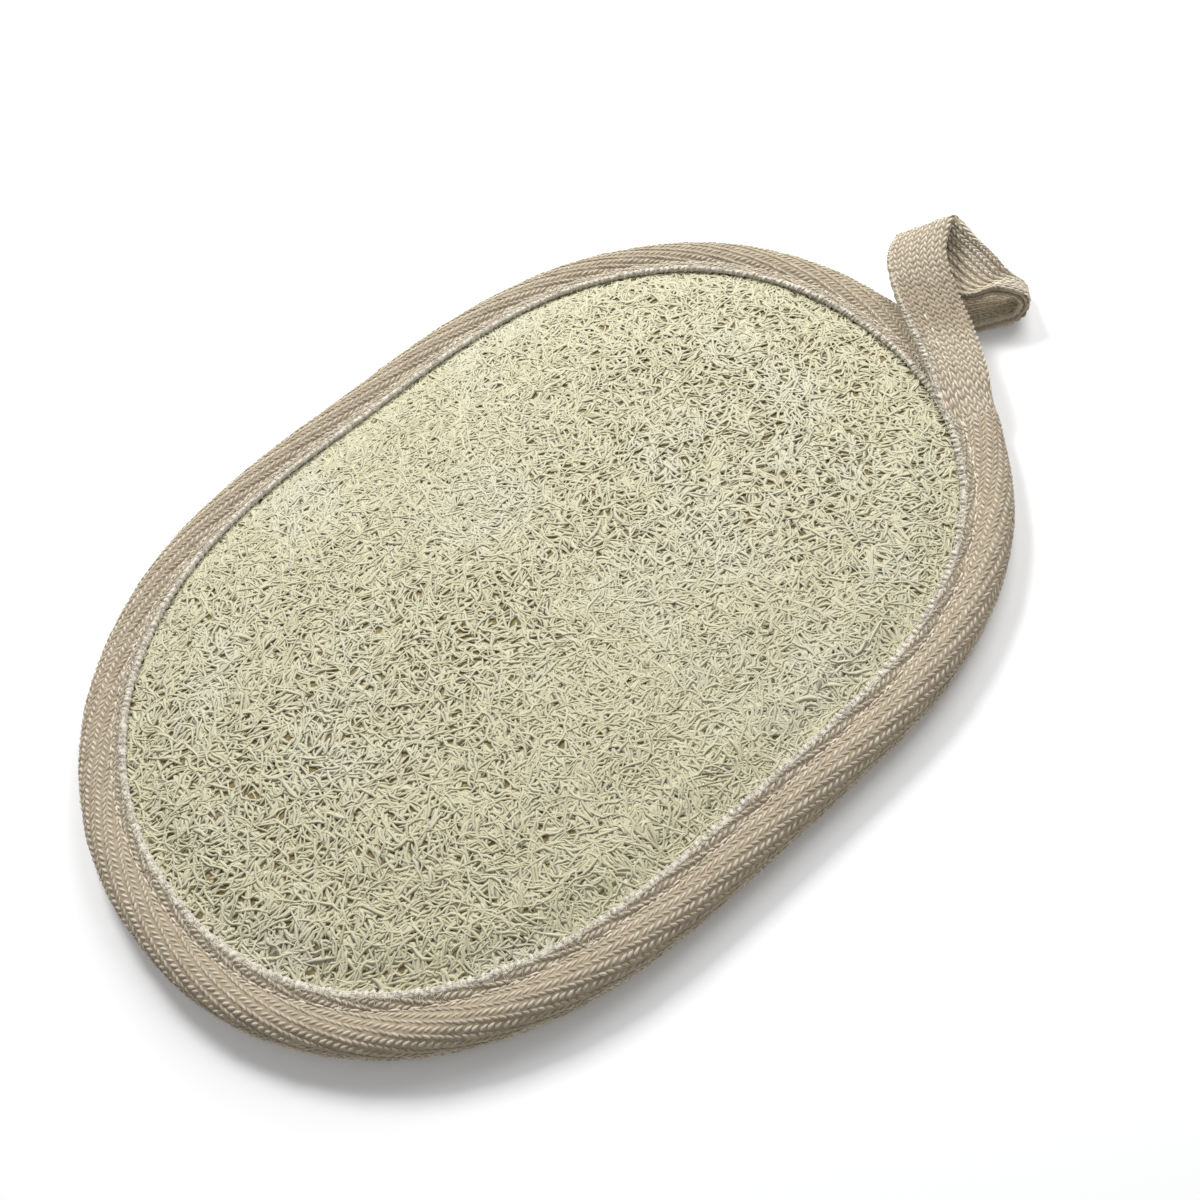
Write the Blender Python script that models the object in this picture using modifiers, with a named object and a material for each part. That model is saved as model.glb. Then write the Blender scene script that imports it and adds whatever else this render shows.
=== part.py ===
"""Oval loofah bath pad.

A pressed loofah mat lies on a cloth back. A cotton tape is folded over the edge of both, sewn down by
one seam with a thread on each face, and its end turns over into a hanging loop.
The pad lies on its cloth back on z = 0, with its centre at the origin and its loop towards +X.
"""

import math
import random

import bmesh
import bpy
from mathutils import Vector

MM = 0.001
# Corners closer than this are merged, edges sharper than this stay sharp, and directions along a curve
# are taken over these small steps of angle and of the way between two stops
MERGE_DISTANCE = 0.01 * MM
SHARP_EDGE = math.radians(50)
ANGLE_STEP = 0.01
STOP_STEP = 0.05

# Outline of the pad, at the outermost line of the tape: an oval whose sides and ends are flattened a
# little and lie a little askew, as hand cutting leaves them
PAD_HALF_LENGTH = 90.0 * MM
PAD_HALF_WIDTH = 65.7 * MM
OUTLINE_POWER = 2.08
SIDE_FLATNESS = 0.0276
SIDE_SKEW = 0.0061
EGG_SHARE = 0.0086

# Cotton tape folded over the edge: the middle of its thickness from the upper selvedge round the rim to
# the lower one, as inset from the rim and height. It dips at the seam
TAPE_THICKNESS = 1.0 * MM
TAPE_SECTION = [
    (8.7 * MM, 5.45 * MM),
    (7.4 * MM, 5.35 * MM),
    (6.2 * MM, 4.85 * MM),
    (4.8 * MM, 5.6 * MM),
    (2.6 * MM, 5.85 * MM),
    (0.9 * MM, 4.9 * MM),
    (0.5 * MM, 3.2 * MM),
    (0.9 * MM, 1.5 * MM),
    (2.6 * MM, 0.55 * MM),
    (4.8 * MM, 0.65 * MM),
    (6.2 * MM, 1.5 * MM),
    (7.4 * MM, 0.65 * MM),
    (8.7 * MM, 0.55 * MM),
]
TAPE_AROUND = 64

# Seam, a thread on each face of the tape: it is thick at each stitch and thin where it dives
SEAM_INSET = 6.2 * MM
SEAM_ABOVE = 5.95 * MM
SEAM_BELOW = 0.38 * MM
STITCH_COUNT = 96
THREAD_RADIUS = 0.32 * MM
THREAD_DIVE_SHARE = 0.5

# Faces of the two sheets, as inset from the rim and height. Both are squeezed thin at the seam
MAT_TOP = [
    (1.5 * MM, 3.3 * MM),
    (2.6 * MM, 4.9 * MM),
    (4.8 * MM, 4.7 * MM),
    (6.2 * MM, 4.0 * MM),
    (8.7 * MM, 4.6 * MM),
    (18.0 * MM, 6.6 * MM),
    (36.0 * MM, 7.9 * MM),
    (66.0 * MM, 8.3 * MM),
]
MAT_FLOOR = [
    (1.5 * MM, 3.3 * MM),
    (2.6 * MM, 3.1 * MM),
    (8.7 * MM, 3.1 * MM),
    (18.0 * MM, 2.2 * MM),
    (66.0 * MM, 2.2 * MM),
]
CLOTH_TOP = [
    (1.5 * MM, 2.5 * MM),
    (2.6 * MM, 2.8 * MM),
    (8.7 * MM, 2.8 * MM),
    (18.0 * MM, 1.9 * MM),
    (66.0 * MM, 1.9 * MM),
]
CLOTH_FLOOR = [
    (1.5 * MM, 2.5 * MM),
    (2.6 * MM, 2.2 * MM),
    (8.9 * MM, 2.2 * MM),
    (14.0 * MM, 0.0 * MM),
    (66.0 * MM, 0.0 * MM),
]
SHEET_AROUND = 40
# Inside its edge a sheet is drawn in rows, as shares of the way out from a line in its middle
SHEET_EDGE = 18.0 * MM
SHEET_ROWS = [0.0, 0.35, 0.65, 0.87]
SPINE_SHARE = 0.3

# Fibres of the mat, larger than life: each is a ridge that comes out of the mat and goes back into it
FIBRE_COUNT = 100
FIBRE_ARM_STEPS = 3
FIBRE_STEP = 6.2 * MM
FIBRE_HALF_WIDTH = 2.0 * MM
FIBRE_HEIGHT = 1.5 * MM
# Section of a fibre, as shares of its half width and height
FIBRE_SECTION = [(1.0, 0.0), (0.0, 1.0), (-1.0, 0.0), (0.0, -0.3)]
FIBRE_SINK = 0.5 * MM
FIBRE_TIP_SHARE = 0.3
FIBRE_WAVE = 0.3 * MM
FIBRE_ROOT_DEPTH = 0.7 * MM
FIBRE_EDGE_INSET = 11.0 * MM
FIBRE_BEND = 0.4
FIBRE_EDGE_TURN = 0.4
FIBRE_SEED = 7
# Their middles are spread like a sunflower's seeds
GOLDEN_ANGLE = math.pi * (3 - math.sqrt(5))

# Hanging loop, the same tape folded to half its width: its two edges at each stop, in millimetres, and
# the share of the full thickness. It leaves the pad's right side, climbs over the rim, turns down at its
# crest, runs back, rolls under at the outer end and meets the rim again
LOOP_THICKNESS = 1.7 * MM
LOOP_STOPS = [
    ((70.9, -28.2, 6.9), (76.6, -36.7, 6.4), 0.0),
    ((73.8, -24.5, 7.2), (79.9, -32.8, 6.9), 0.5),
    ((77.7, -18.6, 7.4), (84.3, -26.5, 7.3), 0.8),
    ((81.3, -12.7, 7.7), (88.7, -20.2, 8.0), 1.0),
    ((85.6, -5.4, 8.8), (92.8, -13.3, 9.4), 1.0),
    ((90.6, 1.0, 10.4), (97.2, -6.8, 12.0), 1.0),
    ((96.3, 3.3, 10.6), (103.8, -3.4, 13.6), 1.0),
    ((98.0, 0.6, 8.0), (105.0, -6.2, 11.8), 1.0),
    ((95.8, -6.6, 7.2), (104.6, -10.8, 10.4), 1.0),
    ((95.2, -12.3, 7.6), (103.9, -15.2, 9.1), 1.0),
    ((95.6, -17.2, 7.4), (104.0, -19.4, 6.8), 1.0),
    ((95.7, -20.1, 4.9), (104.6, -21.8, 4.0), 1.0),
    ((95.2, -20.6, 2.1), (104.0, -20.6, 1.6), 1.0),
    ((93.6, -18.4, 1.0), (101.6, -15.8, 1.0), 1.0),
    ((90.0, -15.9, 1.1), (95.2, -8.8, 1.1), 1.0),
    ((86.5, -13.6, 2.3), (87.8, -4.6, 2.3), 1.0),
]
LOOP_STEPS_A_STOP = 3
# Section of the folded tape, as shares of its width and thickness
LOOP_SECTION = [
    (-0.5, 0.0),
    (-0.46, 0.5),
    (-0.15, 0.5),
    (0.15, 0.5),
    (0.46, 0.5),
    (0.5, 0.0),
    (0.46, -0.5),
    (0.15, -0.5),
    (-0.15, -0.5),
    (-0.46, -0.5),
]


def clear_scene():
    """Removes every object, mesh and collection of the file."""
    for item in list(bpy.data.objects):
        bpy.data.objects.remove(item)
    for block in (bpy.data.meshes, bpy.data.collections):
        for item in list(block):
            block.remove(item)


def material(name, colour, roughness):
    """A plain material of one colour."""
    made = bpy.data.materials.new(name)
    made.use_nodes = True
    shader = made.node_tree.nodes["Principled BSDF"]
    shader.inputs["Base Color"].default_value = (*colour, 1.0)
    shader.inputs["Roughness"].default_value = roughness
    shader.inputs["Metallic"].default_value = 0.0
    return made


def reach(angle):
    """Distance from the pad's centre to its rim in a direction."""
    c, s = math.cos(angle), math.sin(angle)
    oval = abs(c / PAD_HALF_LENGTH) ** OUTLINE_POWER + abs(s / PAD_HALF_WIDTH) ** OUTLINE_POWER
    cut = 1 - SIDE_FLATNESS * math.cos(4 * angle) + SIDE_SKEW * math.sin(4 * angle)
    return oval ** (-1 / OUTLINE_POWER) * cut


def rim(angle):
    """Point of the pad's outline in a direction."""
    x = reach(angle) * math.cos(angle)
    return Vector((x, reach(angle) * math.sin(angle) * (1 + EGG_SHARE * x / PAD_HALF_LENGTH), 0.0))


def inside_rim(angle, inset):
    """Point at a distance in from the rim, square to it."""
    along = (rim(angle + ANGLE_STEP) - rim(angle - ANGLE_STEP)).normalized()
    return rim(angle) + Vector((-along.y, along.x, 0.0)) * inset


def inset_of(point):
    """How far in from the rim a point is, towards the centre."""
    unskewed = point.y / (1 + EGG_SHARE * point.x / PAD_HALF_LENGTH)
    return reach(math.atan2(unskewed, point.x)) - math.hypot(point.x, unskewed)


def eased(stops, inset):
    """Height at an inset, eased from each stop to the next."""
    if inset <= stops[0][0]:
        return stops[0][1]
    for (start, low), (end, high) in zip(stops, stops[1:]):
        if inset <= end:
            share = (inset - start) / (end - start)
            return low + (high - low) * share * share * (3 - 2 * share)
    return stops[-1][1]


def mapped_grid(name, around, along, place):
    """Object from a grid primitive whose corner (i, j) is put at place(i, j).

    Corners that come together are merged, which closes rings, tips and caps.
    """
    bm = bmesh.new()
    bmesh.ops.create_grid(bm, x_segments=around, y_segments=along, size=0.5)
    for corner in bm.verts:
        i = round((corner.co.x + 0.5) * around)
        j = round((corner.co.y + 0.5) * along)
        corner.co = place(i, j)
    bmesh.ops.remove_doubles(bm, verts=bm.verts, dist=MERGE_DISTANCE)
    bmesh.ops.recalc_face_normals(bm, faces=bm.faces)
    mesh = bpy.data.meshes.new(name)
    bm.to_mesh(mesh)
    bm.free()
    return bpy.data.objects.new(name, mesh)


def finish(item, collection, look):
    """Puts an object in its collection, gives it its material and shades it smooth."""
    collection.objects.link(item)
    item.data.materials.append(look)
    item.data.shade_smooth()
    item.data.set_sharp_from_angle(angle=SHARP_EDGE)


def sheet(name, top, floor):
    """An oval sheet with the given upper and lower faces, closed at its edge."""
    upper = [inset for inset, _ in top if inset <= SHEET_EDGE][::-1]
    lower = [inset for inset, _ in floor if inset <= SHEET_EDGE][1:]
    rows = [(share, top) for share in SHEET_ROWS] + [(inset, top) for inset in upper]
    rows += [(inset, floor) for inset in lower] + [(share, floor) for share in SHEET_ROWS[::-1]]

    def place(i, j):
        value, stops = rows[j]
        angle = 2 * math.pi * (i % SHEET_AROUND) / SHEET_AROUND
        if len(SHEET_ROWS) <= j < len(rows) - len(SHEET_ROWS):
            point = inside_rim(angle, value)
            point.z = eased(stops, value)
            return point
        spine = Vector((SPINE_SHARE * PAD_HALF_LENGTH * math.cos(angle), 0.0, 0.0))
        point = spine.lerp(inside_rim(angle, SHEET_EDGE), value)
        point.z = eased(stops, inset_of(point))
        return point

    return mapped_grid(name, SHEET_AROUND, len(rows) - 1, place)


def fibre_arm(draw, start, heading):
    """Points of half a fibre, which bends as it goes and turns away from the mat's edge."""
    points = [start]
    for _ in range(FIBRE_ARM_STEPS):
        heading += draw.uniform(-FIBRE_BEND, FIBRE_BEND)
        ahead = points[-1] + FIBRE_STEP * Vector((math.cos(heading), math.sin(heading), 0))
        while inset_of(ahead) < FIBRE_EDGE_INSET:
            heading += FIBRE_EDGE_TURN
            ahead = points[-1] + FIBRE_STEP * Vector((math.cos(heading), math.sin(heading), 0))
        points.append(ahead)
    return points


def fibre_path(draw, k):
    """Points of one fibre along the mat, at a wavering height, with both ends sunk into it."""
    middle = inside_rim(GOLDEN_ANGLE * k, FIBRE_EDGE_INSET) * math.sqrt((k + 0.5) / FIBRE_COUNT)
    heading = draw.uniform(0, math.pi)
    back = fibre_arm(draw, middle, heading + math.pi)
    points = back[:0:-1] + fibre_arm(draw, middle, heading)
    wave = draw.uniform(0, 2 * math.pi)
    for step, point in enumerate(points):
        rise = FIBRE_WAVE * math.sin(wave + 2 * step) - FIBRE_SINK
        point.z = eased(MAT_TOP, inset_of(point)) + rise
    for point in (points[0], points[-1]):
        point.z -= FIBRE_ROOT_DEPTH
    return points


def fibre(draw, k):
    """One fibre, four-sided and tapered at both ends."""
    points = fibre_path(draw, k)
    steps = len(points) - 1
    girth = draw.uniform(0.8, 1.15)

    def place(i, j):
        here = points[j]
        along = points[min(j + 1, steps)] - points[max(j - 1, 0)]
        side = Vector((-along.y, along.x, 0)).normalized()
        size = girth * (FIBRE_TIP_SHARE if j in (0, steps) else 1.0)
        share_across, share_up = FIBRE_SECTION[i % len(FIBRE_SECTION)]
        across = side * FIBRE_HALF_WIDTH * share_across
        return here + size * (across + Vector((0, 0, FIBRE_HEIGHT * share_up)))

    made = mapped_grid(f"fibre_{k}", len(FIBRE_SECTION), steps, place)
    close_ends(made)
    return made


def close_ends(item):
    """Caps the open ends of a tube."""
    bm = bmesh.new()
    bm.from_mesh(item.data)
    bmesh.ops.holes_fill(bm, edges=bm.edges, sides=0)
    bmesh.ops.recalc_face_normals(bm, faces=bm.faces)
    bm.to_mesh(item.data)
    bm.free()


def keep_outer_shell(item):
    """Drops every loose scrap and sealed hollow, so that one closed body is left."""
    bm = bmesh.new()
    bm.from_mesh(item.data)
    unseen = set(bm.faces)
    shells = []
    while unseen:
        start = unseen.pop()
        shell = {start}
        front = [start]
        while front:
            face = front.pop()
            fresh = {other for edge in face.edges for other in edge.link_faces} - shell
            shell |= fresh
            front += fresh
        unseen -= shell
        shells.append(shell)
    shells.sort(key=len)
    scraps = [face for shell in shells[:-1] for face in shell]
    bmesh.ops.delete(bm, geom=scraps, context="FACES")
    bm.to_mesh(item.data)
    bm.free()


def loofah_mat(collection, look):
    """The mat with its fibres, joined in one body."""
    mat = sheet("loofah_mat", MAT_TOP, MAT_FLOOR)
    finish(mat, collection, look)
    fibres = bpy.data.collections.new("fibres")
    bpy.context.scene.collection.children.link(fibres)
    draw = random.Random(FIBRE_SEED)
    for k in range(FIBRE_COUNT):
        fibres.objects.link(fibre(draw, k))
    union = mat.modifiers.new("fibres", "BOOLEAN")
    union.operation = "UNION"
    union.operand_type = "COLLECTION"
    union.solver = "EXACT"
    union.collection = fibres
    bpy.context.view_layer.update()
    whole = bpy.data.meshes.new_from_object(mat.evaluated_get(bpy.context.evaluated_depsgraph_get()))
    mat.modifiers.remove(union)
    mat.data = whole
    keep_outer_shell(mat)
    for item in list(fibres.objects):
        bpy.data.objects.remove(item)
    bpy.data.collections.remove(fibres)


def binding_tape(collection, look):
    """The folded tape round the pad's edge."""

    def place(i, j):
        inset, height = TAPE_SECTION[j]
        point = inside_rim(2 * math.pi * (i % TAPE_AROUND) / TAPE_AROUND, inset)
        point.z = height
        return point

    tape = mapped_grid("binding_tape", TAPE_AROUND, len(TAPE_SECTION) - 1, place)
    wall = tape.modifiers.new("wall", "SOLIDIFY")
    wall.thickness = TAPE_THICKNESS
    wall.offset = 0.0
    wall.use_even_offset = True
    finish(tape, collection, look)


def seam_thread(name, height, collection, look):
    """A ring of thread in the tape's dip, three-sided, thick and thin by turns."""
    around = 2 * STITCH_COUNT

    def place(i, j):
        angle = 2 * math.pi * (i % around) / around
        turn = 2 * math.pi * (j % 3) / 3
        radius = THREAD_RADIUS * (THREAD_DIVE_SHARE if i % 2 else 1.0)
        point = inside_rim(angle, SEAM_INSET + radius * math.cos(turn))
        point.z = height + radius * math.sin(turn)
        return point

    finish(mapped_grid(name, around, 3, place), collection, look)


def smooth_between(values, at):
    """Value at a fractional index on a smooth curve through the values."""
    last = len(values) - 1
    i = min(int(at), last - 1)
    t = at - i
    before, here, there, beyond = (values[min(max(k, 0), last)] for k in (i - 1, i, i + 1, i + 2))
    slope = (there - before) * t
    bend = (2 * before - 5 * here + 4 * there - beyond) * t * t
    twist = (3 * here - before - 3 * there + beyond) * t * t * t
    return 0.5 * (2 * here + slope + bend + twist)


def hanging_loop(collection, look):
    """The folded tape that turns over into a loop."""
    left = [Vector(stop[0]) * MM for stop in LOOP_STOPS]
    right = [Vector(stop[1]) * MM for stop in LOOP_STOPS]
    shares = [stop[2] for stop in LOOP_STOPS]
    rows = (len(LOOP_STOPS) - 1) * LOOP_STEPS_A_STOP

    def middle(at):
        return (smooth_between(left, at) + smooth_between(right, at)) / 2

    def place(i, j):
        at = min(j, rows) / LOOP_STEPS_A_STOP
        across = smooth_between(right, at) - smooth_between(left, at)
        along = middle(min(at + STOP_STEP, len(left) - 1)) - middle(max(at - STOP_STEP, 0))
        up = across.cross(along).normalized()
        thickness = LOOP_THICKNESS * min(smooth_between(shares, at), 1.0)
        if j > rows:
            thickness = 0.0
        share_across, share_up = LOOP_SECTION[i % len(LOOP_SECTION)]
        return middle(at) + across * share_across + up * thickness * share_up

    finish(mapped_grid("hanging_loop", len(LOOP_SECTION), rows + 1, place), collection, look)


def main():
    """Builds the whole pad."""
    clear_scene()
    pad = bpy.data.collections.new("oval_loofah_pad")
    bpy.context.scene.collection.children.link(pad)
    loofah_mat(pad, material("loofah", (0.50, 0.47, 0.32), 0.9))
    cloth = sheet("backing_cloth", CLOTH_TOP, CLOTH_FLOOR)
    finish(cloth, pad, material("back_cloth", (0.62, 0.57, 0.47), 0.95))
    tape = material("cotton_tape", (0.53, 0.47, 0.35), 0.9)
    binding_tape(pad, tape)
    thread = material("cotton_thread", (0.72, 0.65, 0.50), 0.8)
    seam_thread("seam_thread_front", SEAM_ABOVE, pad, thread)
    seam_thread("seam_thread_back", SEAM_BELOW, pad, thread)
    hanging_loop(pad, tape)


main()
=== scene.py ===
"""The looks of an oval loofah bath pad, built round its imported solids.

A body of matted loofah carries thousands of fibres. A herringbone tape is folded round its edge and sewn
down, and its end turns over into a hanging loop. A terry cloth closes the back. Lengths are in metres,
the pad lies on z = 0 and its loop points to +X.
"""

import logging
import math
from dataclasses import dataclass
from enum import Enum
from typing import Callable

import bmesh
import bpy
import numpy as np
from mathutils import Matrix, Vector


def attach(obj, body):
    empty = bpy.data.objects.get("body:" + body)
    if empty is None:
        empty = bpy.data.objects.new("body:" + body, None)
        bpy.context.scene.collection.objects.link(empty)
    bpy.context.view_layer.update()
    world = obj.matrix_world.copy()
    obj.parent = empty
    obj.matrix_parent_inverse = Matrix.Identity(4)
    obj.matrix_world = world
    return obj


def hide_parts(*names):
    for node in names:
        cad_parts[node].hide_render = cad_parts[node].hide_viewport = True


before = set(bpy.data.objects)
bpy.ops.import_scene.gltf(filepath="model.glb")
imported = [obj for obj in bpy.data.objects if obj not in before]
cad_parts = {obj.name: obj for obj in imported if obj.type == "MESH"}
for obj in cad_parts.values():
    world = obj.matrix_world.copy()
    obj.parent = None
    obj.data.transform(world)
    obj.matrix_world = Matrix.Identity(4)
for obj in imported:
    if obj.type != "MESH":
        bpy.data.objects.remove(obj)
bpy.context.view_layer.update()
LOG = logging.getLogger("loofah_pad")

Array = np.ndarray
Place = Callable[[Array, Array, Array], Array]
GridPlace = Callable[[Array, Array], Array]
Colour = tuple[float, float, float]

MM = 0.001
MERGE_DISTANCE = 0.005 * MM
TINY_LIFT = 0.05 * MM
GOLDEN_TURN = math.pi * (3 - math.sqrt(5))
# Numbers of a Mix node's sockets for colours.
MIX_SHARE, MIX_FIRST, MIX_SECOND, MIX_RESULT = 0, 6, 7, 2


class Slot(Enum):
    """Material slots of the record."""

    LOOFAH = "loofah"
    CLOTH = "back_cloth"
    TAPE = "cotton_tape"
    THREAD = "cotton_thread"


class Face(Enum):
    """The two broad sides of the pad."""

    FRONT = "front"
    BACK = "back"


# Curves and surfaces


def unit(vectors: Array) -> Array:
    """Vectors of length one."""
    return vectors / np.maximum(np.linalg.norm(vectors, axis=-1, keepdims=True), 1e-12)


def eased(share: Array) -> Array:
    """Share of a way, held between 0 and 1, with a gentle start and end."""
    share = np.clip(share, 0, 1)
    return share**2 * (3 - 2 * share)


def walk_along(points: Array) -> Array:
    """Length of a line up to each of its points."""
    return np.concatenate([[0], np.cumsum(np.linalg.norm(np.diff(points, axis=0), axis=1))])


def smooth_through(stops: Array, at: Array) -> Array:
    """Reads a smooth curve through some stops.

    Args:
        stops: One row for each stop.
        at: Fractional indices of stops.

    Returns:
        One row for each index.
    """
    last = len(stops) - 1
    first = np.clip(np.floor(at).astype(int), 0, last - 1)
    t = (at - first)[..., None]
    before, here, there, beyond = (stops[np.clip(first + k, 0, last)] for k in (-1, 0, 1, 2))
    slope = (there - before) * t
    bend = (2 * before - 5 * here + 4 * there - beyond) * t**2
    twist = (3 * here - before - 3 * there + beyond) * t**3
    return 0.5 * (2 * here + slope + bend + twist)


@dataclass(frozen=True)
class Profile:
    """Height over the distance in from the rim, eased between stops in millimetres."""

    stops: tuple[tuple[float, float], ...]

    def at(self, inset: Array) -> Array:
        """Reads the height at an inset.

        Args:
            inset: Distances in from the rim.

        Returns:
            One height for each.
        """
        insets, heights = np.array(self.stops).T * MM
        k = np.clip(np.searchsorted(insets, inset) - 1, 0, len(insets) - 2)
        share = eased((inset - insets[k]) / (insets[k + 1] - insets[k]))
        return heights[k] + (heights[k + 1] - heights[k]) * share


@dataclass
class Dice:
    """Seeded random numbers, one column of them at a time with a number for each strand."""

    seed: int
    count: int

    def __post_init__(self) -> None:
        """Starts the generator."""
        self.rng = np.random.default_rng(self.seed)
        self.shape = (self.count, 1)

    def between(self, low: float, high: float) -> Array:
        """Numbers spread evenly between two."""
        return self.rng.uniform(low, high, self.shape)

    def about(self, middle: float, spread: float) -> Array:
        """Numbers that scatter about one."""
        return self.rng.normal(middle, spread, self.shape)


@dataclass(frozen=True)
class Outline:
    """The pad's outline: an oval whose sides are flattened a little and lie a little askew."""

    half_length: float = 90.0 * MM
    half_width: float = 65.7 * MM
    power: float = 2.08
    flatness: float = 0.0276
    skew: float = 0.0061
    egg: float = 0.0086
    step: float = 0.01
    samples: int = 1440
    spine_share: float = 0.3

    def reach(self, angle: Array) -> Array:
        """Measures from the centre to the rim.

        Args:
            angle: Directions.

        Returns:
            One distance for each.
        """
        c, s = np.cos(angle), np.sin(angle)
        oval = np.abs(c / self.half_length) ** self.power + np.abs(s / self.half_width) ** self.power
        cut = 1 - self.flatness * np.cos(4 * angle) + self.skew * np.sin(4 * angle)
        return oval ** (-1 / self.power) * cut

    def rim(self, angle: Array) -> Array:
        """Finds points of the outline.

        Args:
            angle: Directions from the centre.

        Returns:
            One point for each.
        """
        x = self.reach(angle) * np.cos(angle)
        y = self.reach(angle) * np.sin(angle) * (1 + self.egg * x / self.half_length)
        return np.stack([x, y], axis=-1)

    def inside(self, angle: Array, inset: Array) -> Array:
        """Finds points inside the outline, square to the rim.

        Args:
            angle: Directions from the centre to the rim.
            inset: Distances in from it.

        Returns:
            One point for each.
        """
        along = unit(self.rim(angle + self.step) - self.rim(angle - self.step))
        inward = np.stack([-along[..., 1], along[..., 0]], axis=-1)
        return self.rim(angle) + inward * np.asarray(inset)[..., None]

    def inset_of(self, x: Array, y: Array) -> Array:
        """How far in from the rim a point is, towards the centre."""
        unskewed = y / (1 + self.egg * x / self.half_length)
        return self.reach(np.arctan2(unskewed, x)) - np.hypot(x, unskewed)

    def walked(self) -> tuple[Array, Array]:
        """Directions round the pad and the length of rim up to each."""
        angles = np.linspace(0, 2 * math.pi, self.samples + 1)
        return angles, walk_along(self.rim(angles))

    def length(self) -> float:
        """Length of the rim."""
        return float(self.walked()[1][-1])

    def angle_at(self, share: Array) -> Array:
        """Direction of the point that lies a share of the way round."""
        angles, length = self.walked()
        return np.interp(share % 1, length / length[-1], angles)

    def spine(self, angle: Array) -> Array:
        """Point of the oval's middle line that rows of a sheet start from, for each direction."""
        return np.stack([self.spine_share * self.half_length * np.cos(angle), 0 * angle], axis=-1)

    def scatter(self, count: int, inset: float, power: float) -> Array:
        """Spreads points over the oval.

        Args:
            count: How many there are.
            inset: How far in from the rim they end.
            power: 0.5 spreads them evenly, and less crowds them at the rim.

        Returns:
            The points, from the centre out.
        """
        k = np.arange(count) + 0.5
        return self.inside(k * GOLDEN_TURN % (2 * math.pi), inset) * ((k / count) ** power)[:, None]


# Mesh tools


def to_object(bm: bmesh.types.BMesh, name: str) -> bpy.types.Object:
    """Turns a bmesh into an object of the scene, shaded smooth."""
    mesh = bpy.data.meshes.new(name)
    bm.to_mesh(mesh)
    bm.free()
    mesh.shade_smooth()
    made = bpy.data.objects.new(name, mesh)
    bpy.context.scene.collection.objects.link(made)
    return made


def bake_modifiers(piece: bpy.types.Object) -> None:
    """Replaces a piece's mesh with what its modifiers make of it."""
    bpy.context.view_layer.update()
    graph = bpy.context.evaluated_depsgraph_get()
    mesh = bpy.data.meshes.new_from_object(piece.evaluated_get(graph))
    piece.modifiers.clear()
    piece.data = mesh
    mesh.name = piece.name


def mark(piece: bpy.types.Object, name: str, values: Array) -> None:
    """Stores one number for each corner point of a piece, for its finish to read."""
    layer = piece.data.attributes.new(name, "FLOAT", "POINT")
    layer.data.foreach_set("value", np.ascontiguousarray(values, dtype=np.float32).ravel())


def cloth_grid(name: str, place: GridPlace, cells: tuple[int, int]) -> bpy.types.Object:
    """Makes a grid and lays each of its corners where the surface says.

    Args:
        name: Name of the new object.
        place: Gives points for two arrays of shares, along and across.
        cells: How many cells there are along and across.

    Returns:
        The new object. Edges that meet are merged.
    """
    bm = bmesh.new()
    bmesh.ops.create_grid(bm, x_segments=cells[0], y_segments=cells[1], size=0.5)
    shares = np.array([corner.co[:2] for corner in bm.verts]) + 0.5
    for corner, point in zip(bm.verts, place(*shares.T)):
        corner.co = point
    bmesh.ops.remove_doubles(bm, verts=bm.verts, dist=MERGE_DISTANCE)
    bmesh.ops.recalc_face_normals(bm, faces=bm.faces)
    return to_object(bm, name)


def walled_cloth(name: str, place: GridPlace, cells: tuple[int, int], thickness: float) -> bpy.types.Object:
    """Makes a cloth with two faces round a surface.

    Args:
        name: Name of the new object.
        place: Gives points for two arrays of shares, along and across.
        cells: How many cells there are along and across.
        thickness: Distance between the faces.

    Returns:
        The new object.
    """
    cloth = cloth_grid(name, place, cells)
    wall = cloth.modifiers.new("wall", "SOLIDIFY")
    wall.thickness, wall.offset = thickness, 0.0
    bake_modifiers(cloth)
    return cloth


def tube(sides: int, rings: int) -> bmesh.types.BMesh:
    """Makes a closed tube of unit radius and length along z.

    Args:
        sides: Sides of its rings.
        rings: How many rings there are, with those of the ends.

    Returns:
        The tube, still as a bmesh.
    """
    bm = bmesh.new()
    bmesh.ops.create_cone(bm, cap_ends=True, segments=sides, radius1=1, radius2=1, depth=1)
    ends = {edge: [corner.co.z for corner in edge.verts] for edge in bm.edges}
    long_edges = [edge for edge, (first, last) in ends.items() if edge.calc_length() == 1 and first != last]
    bmesh.ops.subdivide_edges(bm, edges=long_edges, cuts=rings - 2, use_grid_fill=True)
    return bm


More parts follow.
